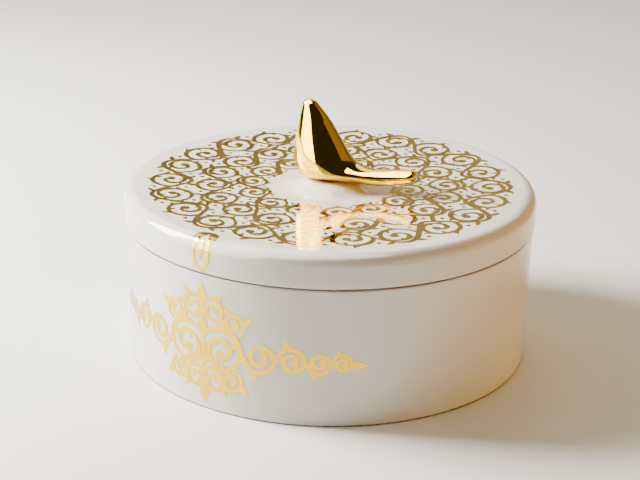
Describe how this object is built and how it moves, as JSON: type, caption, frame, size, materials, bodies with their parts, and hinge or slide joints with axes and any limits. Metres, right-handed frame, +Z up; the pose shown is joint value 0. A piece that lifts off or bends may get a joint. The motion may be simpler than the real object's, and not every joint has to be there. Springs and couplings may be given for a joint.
{
  "type": "lidded jar",
  "caption": "Round ceramic jar with a lift-off lid, dished on top, and a cast gold bird-like finial as its handle.",
  "frame": {"origin": "middle of the base, on the surface that the jar stands on", "axes": "+Z up along the jar's axis, the way the lid lifts; the front of the jar faces -Y and the finial's beak points between +X and -Y"},
  "size_m": [0.2, 0.2, 0.1245],
  "materials": {
    "jar_glaze": "gloss white glaze with fired gold ornament",
    "lid_glaze": "gloss white glaze with fired gold ornament",
    "polished_gold": "mirror polished, gold plated",
    "gasket_rubber": "translucent white silicone",
    "cushion_rubber": "matt",
    "washer_steel": "plain zinc plated",
    "screw_steel": "plain zinc plated"
  },
  "bodies": {
    "jar": {"jar_body": "jar_glaze"},
    "lid": {"lid": "lid_glaze", "finial": "polished_gold", "finial_gasket": "gasket_rubber", "cushion_washer": "cushion_rubber", "metal_washer": "washer_steel", "finial_screw": "screw_steel"}
  },
  "joints": [
    {"name": "lid_lift", "type": "slide", "parent": "jar", "child": "lid", "axis": [0, 0, 1], "range_m": [0, 0.12]}
  ]
}
